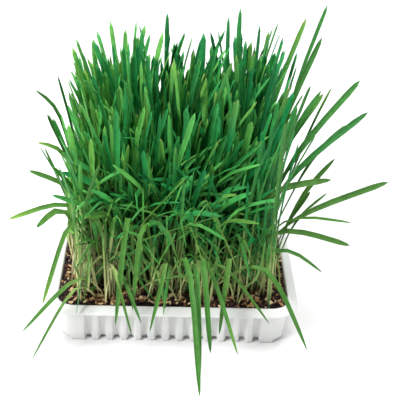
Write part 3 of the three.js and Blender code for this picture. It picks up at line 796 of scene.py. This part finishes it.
def sharpen_edges(piece):
    """Marks the two long edges and the midrib of every blade as sharp, so that its faces shade apart."""
    mesh = piece.data
    ends = np.empty(len(mesh.edges) * 2, int)
    mesh.edges.foreach_get("vertices", ends)
    a, b = ends.reshape(-1, 2).T % CORNERS
    sharp = mesh.attributes.new("sharp_edge", "BOOLEAN", "EDGE")
    sharp.data.foreach_set("value", (a == b) & (a < 3))


def inside_box(tips):
    """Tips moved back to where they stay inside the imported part's box by the margin."""
    low, high = (np.array(corner) for corner in CAD_BOX)
    return np.clip(tips, low + BOX_MARGIN, high - BOX_MARGIN)


def rooted(x, y, lean_x, lean_y, height, bow, knee):
    """Root, bend and tip of blades from the crown height: the tip is moved by the lean and height, and
    the bend stands at the bow's share of the lean and the knee's share of the height."""
    root = np.column_stack([x, y, np.full(len(x), CROWN_TOP)])
    tip = inside_box(root + np.column_stack([lean_x, lean_y, height]))
    travel = tip - root
    bend = root + np.column_stack([bow * travel[:, 0], bow * travel[:, 1], knee * travel[:, 2]])
    return root, bend, tip


def in_front(y):
    """1 at the front of the tray, falling to 0 behind the mat."""
    return 1 - smoothstep(*MAT_DEPTH, y)


def in_mat(x, y):
    """1 in the middle of the front, where blades bend over into a mat, falling to 0 behind it and at
    both ends."""
    return in_front(y) * (1 - smoothstep(*MAT_HALF_LENGTH, np.abs(x - MAT_MIDDLE)))


def kept_within(half, x, lean):
    """Leans along the tray, cut so that the tips of blades rooted at x stay within a half length."""
    return np.clip(x + lean, -half, half) - x


def standing_blades(count):
    """Filler blades in tufts over the tray, thinned out by noise: tall at the back and both ends, low
    and few in the mat. They lean out at both ends, and each its own way besides. Some bend over."""
    spots = scatter(5 * count, STANDING_MARGIN)
    spots = spots[(np.abs(spots[:, 0]) < STANDING_HALF_LENGTH) & (spots[:, 1] > STANDING_FRONT)]
    x, y = spots.T
    between = TUFT_THINNING * smoothstep(*TUFT_GAP, value_noise(x, y, TUFT, 7))
    sparse = np.maximum(MAT_THINNING * in_mat(x, y), between)
    x, y = spots[rng.uniform(0, 1, len(spots)) > sparse][:count].T
    height = TALL_HEIGHT + (MAT_HEIGHT - TALL_HEIGHT) * in_mat(x, y)
    height = height * rng.uniform(*HEIGHT_SPREAD, count) * (1 + TUFT_SWING * value_noise(x, y, TUFT, 8))
    height = height * (1 - LEFT_DROP * smoothstep(*LEFT_END, x))
    bending = rng.uniform(0, 1, count) < BENDING_SHARE
    spread = np.where(bending, BENDING_SPREAD, UPRIGHT_SPREAD) * height
    half_x, half_y = TRAY_HALF
    lean_x = EVEN_LEAN + END_LEAN * x / half_x - LEFT_LEAN * smoothstep(*LEFT_LEAN_FROM, x)
    lean_x = kept_within(OUTER_HALF_LENGTH, x, lean_x + spread * rng.normal(0, STANDING_SWAY[0], count))
    lean_y = BACK_LEAN * y / half_y - FRONT_LEAN * in_front(y)
    lean_y = lean_y + spread * rng.normal(0, STANDING_SWAY[1], count)
    height = np.where(bending, BENDING_HEIGHT, 1.0) * height
    knee = np.where(bending, BENDING_KNEE, rng.uniform(*UPRIGHT_KNEE, count))
    path = rooted(x, y, lean_x, lean_y, height, rng.uniform(*STANDING_BOW, count), knee)
    return bent(*path, rng.normal(0, STANDING_TWIST, count)), rng.uniform(*STANDING_WIDTH, count)


def fringe_blades(count):
    """Filler blades of the mat at the front: they rise on thin stems and turn over, most of them to
    the nearer side, into nearly straight leaves."""
    x = MAT_MIDDLE + rng.uniform(-1, 1, count) * MAT_HALF_LENGTH[1]
    y = rng.uniform(*FRINGE_DEPTH, count) * TRAY_HALF[1]
    side = np.sign(x - MAT_MIDDLE) * np.where(rng.uniform(0, 1, count) < FRINGE_OUTWARD, 1, -1)
    root = np.column_stack([x, y, np.full(count, CROWN_TOP)])
    rise = rng.uniform(*FRINGE_RISE, (count, 3))
    reach = rng.uniform(*FRINGE_REACH, (count, 3))
    rise[:, 0] *= side
    reach[:, 0] *= side
    bend = root + rise
    tip = bend + reach
    tip[:, 0] = np.clip(tip[:, 0], -FILLER_HALF_LENGTH, FILLER_HALF_LENGTH)
    twist = FRINGE_TURN * side + rng.normal(0, FRINGE_TWIST, count)
    return bent(root, bend, tip, twist), rng.uniform(*FRINGE_WIDTH, count)


def thin_stems(count):
    """Thin, pale, nearly straight stems that fill the front and the sides under the leaves, more of them
    at the left end."""
    along = rng.uniform(0, 1, count) ** STEM_CROWDING[0]
    forward = rng.uniform(0, 1, count) ** STEM_CROWDING[1]
    x = (2 * along - 1) * STEM_HALF_LENGTH
    y = (STEM_DEPTH[0] + (STEM_DEPTH[1] - STEM_DEPTH[0]) * forward) * TRAY_HALF[1]
    height = rng.uniform(*STEM_HEIGHT, count)
    lean_x, lean_y = rng.normal(0, STEM_LEAN, (2, count))
    lean_x = kept_within(FILLER_HALF_LENGTH, x, lean_x)
    path = rooted(x, y, lean_x, lean_y - STEM_FORWARD, height, rng.uniform(*STEM_BOW, count), STEM_KNEE)
    return bent(*path, rng.normal(0, STEM_TWIST, count)), rng.uniform(*STEMS_WIDTH, count)


def low_arches(count):
    """Thin leaves low at the front and the sides that bend over and hang towards the soil: up and out to
    the bend, then further out and down to the tip, all in one heading."""
    x = rng.uniform(-1, 1, count) * ROOT_HALF_LENGTH
    y = rng.uniform(*ARCH_DEPTH, count) * TRAY_HALF[1]
    root = np.column_stack([x, y, np.full(count, CROWN_TOP)])
    turn = rng.uniform(*ARCH_HEADING, count)
    heading = np.column_stack([np.cos(turn), ARCH_FORWARD * np.sin(turn), 0 * turn])
    upright = np.array([0.0, 0.0, 1.0])
    each = (count, 1)
    bend = root + rng.uniform(*ARCH_OUT, each) * heading + rng.uniform(*ARCH_UP, each) * upright
    tip = bend + rng.uniform(*HANG_OUT, each) * heading - rng.uniform(*HANG_DOWN, each) * upright
    tip[:, 0] = np.clip(tip[:, 0], -FILLER_HALF_LENGTH, FILLER_HALF_LENGTH)
    return bent(root, bend, tip, rng.normal(0, ARCH_TWIST, count)), rng.uniform(*ARCHES_WIDTH, count)


def young_shoots(count):
    """Short thin shoots and bare stems between the blades."""
    x, y = scatter(count, SHOOT_MARGIN).T
    height = rng.uniform(*SHOOT_HEIGHT, count)
    lean_x, lean_y = rng.normal(0, SHOOT_LEAN, (2, count)) * height
    lean_x = kept_within(FILLER_HALF_LENGTH, x, lean_x)
    path = rooted(x, y, lean_x, lean_y, height, SHOOT_BOW, SHOOT_KNEE)
    return bent(*path, rng.normal(0, SHOOT_TWIST, count)), rng.uniform(*SHOOTS_WIDTH, count)


def drawn(hangs, hanging, other):
    """Random values of many blades, from one range where a blade hangs and from the other elsewhere."""
    count = len(hangs)
    return np.where(hangs, rng.uniform(*hanging, count), rng.uniform(*other, count))


def packed_blades(nodes):
    """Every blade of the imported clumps: paths, directions, keel sides, widths, stem and opening shares,
    point lengths and the clumps' numbers."""
    t = stations()
    parts = []
    for number, name in enumerate(nodes):
        for keys, width, keel in cad_blades(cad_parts[name]):
            path, along = through(keys, t)
            back = np.concatenate([keel[:, :1], keel, keel[:, -1:]], 1)
            knots = np.linspace(0, 1, back.shape[1])
            place = np.clip(np.searchsorted(knots, t, side="right") - 1, 0, len(knots) - 2)
            share = ((t - knots[place]) / (knots[place + 1] - knots[place]))[None, :, None]
            back = back[:, place] * (1 - share) + back[:, place + 1] * share
            upright = keys.shape[1] < ARCHED_KEYS
            behind = smoothstep(*SLIM_DEPTH, path[:, 0, 1])
            slim = SLIMMING[0] + (SLIMMING[1] - SLIMMING[0]) * behind
            hangs = np.full(len(path), not upright) & (path[:, -1, 2] < HANGING_HEIGHT)
            outer = np.abs(path[:, -1, 0]) > OUTER_HALF_LENGTH
            arched = np.where(hangs, HANGING_WIDTH, np.where(outer, ARCHED_WIDTH, MAT_WIDTH))
            width = width * (slim if upright else arched)
            stem = drawn(hangs, HANGING_STEM, UPRIGHT_STEM if upright else ARCHED_STEM)
            opens = np.where(hangs, HANGING_OPENING, OPENING_SHARE)
            point = drawn(hangs, HANGING_TIP, UPRIGHT_TIP if upright else ARCHED_TIP)
            owner = np.full(len(path), number)
            parts.append((path, along, unit(back), width, stem, opens, point, owner))
    return [np.concatenate(part) for part in zip(*parts)]


def deep_inside(points):
    """Share of painted shade on the leaves: 1 low in the middle of the stand, where leaves shade each
    other, and 0 near its sides and top.
    """
    from_side = (TRAY_HALF - np.abs(points[..., :2])).min(-1)
    return smoothstep(*INNER_DEPTH, from_side) * (1 - smoothstep(*INNER_HEIGHT, points[..., 2]))


def nearest_clump(roots, centres):
    """Number of the clump whose crown is nearest to each root."""
    return np.linalg.norm(roots[:, None, :2] - centres[None], axis=-1).argmin(1)


def leaf_tints(path, width):
    """Tints of every blade. Its tone is random, lighter at the left end and deeper at the right end, at
    the front and on outer leaves, whose tips are past the tray's ends or front and which are warm
    instead. Some blades have dry tips. Thin blades are less fresh, and the left end's are bleached."""
    count = len(path)
    root, tip = path[:, 0], path[:, -1]
    chance = rng.uniform(0, 1, count)
    dry = np.where(chance < DRY_SHARE, rng.uniform(*DRYNESS, count), 0.0)
    past = np.maximum(np.abs(tip[:, 0]) - OUTER_HALF_LENGTH, -TRAY_HALF[1] - tip[:, 1])
    outer = smoothstep(*OUTER_PAST, past)
    left = smoothstep(*LEFT_SIDE, root[:, 0])
    right = smoothstep(*RIGHT_SIDE, root[:, 0])
    front = in_front(root[:, 1])
    high = smoothstep(*HIGH_TIP, tip[:, 2])
    thin = width < THIN_WIDTH
    tone = rng.beta(*TONES, count) * (1 - OUTER_DEEPENING * outer) * (1 - FRONT_DEEPENING * front)
    ends = np.where(thin, THIN_LIGHTENING, LEAF_LIGHTENING) * left - RIGHT_DEEPENING * right
    warm = rng.normal(WARMTH, WARMTH_SPREAD, count) * (1 - OUTER_WARMTH_SPARED * outer)
    warm = warm + outer * (OUTER_WARMTH - HIGH_COOLING * high)
    pale = np.where(thin, rng.uniform(*THIN_PALENESS, count), rng.uniform(*LEAF_PALENESS, count))
    return {
        "tone": np.clip(tone + ends * (1 - OUTER_TONE_SPARED * outer), 0, 1),
        "warm": np.clip(warm, 0, WARMEST),
        "dry": dry,
        "fresh": 1 - pale * (BACK_PALENESS + FRONT_PALENESS * front),
        "bleached": LEFT_BLEACHING * left * (1 - OUTER_BLEACH_SPARED * outer),
    }


def filler_blades(centres):
    """Every kind of filler blade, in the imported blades' form, with the number of the nearest clump."""
    kinds = (
        (standing_blades(STANDING), UPRIGHT_STEM, UPRIGHT_TIP),
        (fringe_blades(FRINGE), ARCHED_STEM, ARCHED_TIP),
        (thin_stems(STEMS), UPRIGHT_STEM, UPRIGHT_TIP),
        (low_arches(ARCHES), HANGING_STEM, HANGING_TIP),
        (young_shoots(SHOOTS), UPRIGHT_STEM, UPRIGHT_TIP),
    )
    parts = []
    for (shape, width), stem_range, tip_range in kinds:
        stem = rng.uniform(*stem_range, len(width))
        opens = np.full(len(width), OPENING_SHARE)
        point = rng.uniform(*tip_range, len(width))
        parts.append((*shape, width, stem, opens, point, nearest_clump(shape[0][:, 0], centres)))
    return [np.concatenate(part) for part in zip(*parts)]


def grow_grass(material):
    """One piece of grass for each packed clump: its own blades and the fillers that root nearest."""
    nodes = sorted(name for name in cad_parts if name.startswith("clump"))
    packed = packed_blades(nodes)
    roots, owner = packed[0][:, 0, :2], packed[-1]
    centres = np.stack([roots[owner == number].mean(0) for number in range(len(nodes))])
    *parts, clump = (np.concatenate(pair) for pair in zip(packed, filler_blades(centres)))
    tints = leaf_tints(path=parts[0], width=parts[3])
    for number, name in enumerate(nodes):
        mine = clump == number
        points, values = blade_points(*(part[mine] for part in parts))
        shape = points.shape[:3]
        tint = {key: np.broadcast_to(value[mine, None, None], shape) for key, value in tints.items()}
        green = values["green"] * tint["fresh"]
        values["green"] = green - tint["bleached"] * np.clip(1 - green, 0, 1)
        for key in ("tone", "warm", "dry"):
            values[key] = tint[key]
        # Share of painted shade at every point of the blades
        values["painted_shade"] = INNER_SHADE * deep_inside(points)
        faces = blade_faces(mine.sum()).tolist()
        piece_name = name.replace("clump", "grass")
        sharpen_edges(add_piece(piece_name, points, faces, material, "grass", (name,), values))


# Stage

def add_floor():
    """A plain pale floor, far larger than the view."""
    s = Shader("pale_floor")
    s.set(Base_Color=(0.93, 0.93, 0.93, 1.0), Roughness=0.9, Specular_IOR_Level=0.1)
    mesh = bpy.data.meshes.new("floor")
    corners = [(FLOOR_HALF * x, FLOOR_HALF * y, 0) for x, y in ((-1, -1), (1, -1), (1, 1), (-1, 1))]
    mesh.from_pydata(corners, [], [(0, 1, 2, 3)])
    mesh.materials.append(s.material)
    floor = bpy.data.objects.new("floor", mesh)
    bpy.context.scene.collection.objects.link(floor)
    floor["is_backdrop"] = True


def add_light(name, place, target, size, power):
    """A square soft light that faces its target."""
    light = bpy.data.lights.new(name, "AREA")
    light.size = size
    light.energy = power
    lamp = bpy.data.objects.new(name, light)
    lamp.location = place
    aim = Vector(target) - Vector(place)
    lamp.rotation_euler = aim.to_track_quat("-Z", "Y").to_euler()
    bpy.context.scene.collection.objects.link(lamp)


def add_sky(strength):
    """Even white light from all round."""
    world = bpy.data.worlds.new("studio")
    world.use_nodes = True
    backdrop = world.node_tree.nodes["Background"]
    backdrop.inputs["Color"].default_value = (1.0, 1.0, 1.0, 1.0)
    backdrop.inputs["Strength"].default_value = strength
    bpy.context.scene.world = world


def add_camera():
    """The photograph's camera: looking along +Y and down by its pitch, with a small yaw and roll."""
    pitch, yaw, roll = np.radians([CAMERA_PITCH, CAMERA_YAW, CAMERA_ROLL])
    ahead = np.array([np.sin(yaw) * np.cos(pitch), np.cos(yaw) * np.cos(pitch), -np.sin(pitch)])
    level = np.array([np.cos(yaw), -np.sin(yaw), 0.0])
    upright = np.cross(level, ahead)
    right = level * np.cos(roll) + upright * np.sin(roll)
    up = upright * np.cos(roll) - level * np.sin(roll)
    data = bpy.data.cameras.new("camera")
    data.sensor_width = SENSOR
    data.lens = SENSOR * FOCAL_PIXELS / PHOTO_SIDE
    data.clip_start, data.clip_end = CLIP_NEAR, CLIP_FAR
    camera = bpy.data.objects.new("camera", data)
    matrix = np.eye(4)
    matrix[:3] = np.column_stack([right, up, -ahead, CAMERA_PLACE])
    camera.matrix_world = Matrix(matrix.tolist())
    bpy.context.scene.collection.objects.link(camera)
    bpy.context.scene.camera = camera


# Assembly

add_camera()
add_floor()
add_sky(SKY_STRENGTH)
for light in LIGHTS:
    add_light(*light)
bpy.context.scene.view_settings.view_transform = "Standard"

plastic, mix, leaf = plastic_material(), soil_material(), leaf_material()
add_piece("tray_shell", *tray_shell(), plastic, "tray_plastic", ("tray",))
points, faces, shades = soil_bed()
add_piece("soil_bed", points, faces, mix, "growing_mix", ("soil",), shades)
points, faces, shades = soil_litter()
add_piece("soil_litter", points, faces, mix, "growing_mix", values=shades, smooth=False)
grow_grass(leaf)

boxes = {"cad": CAD_BOX, "visual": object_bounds()}
{key: [list(corner) for corner in box] for key, box in boxes.items()}
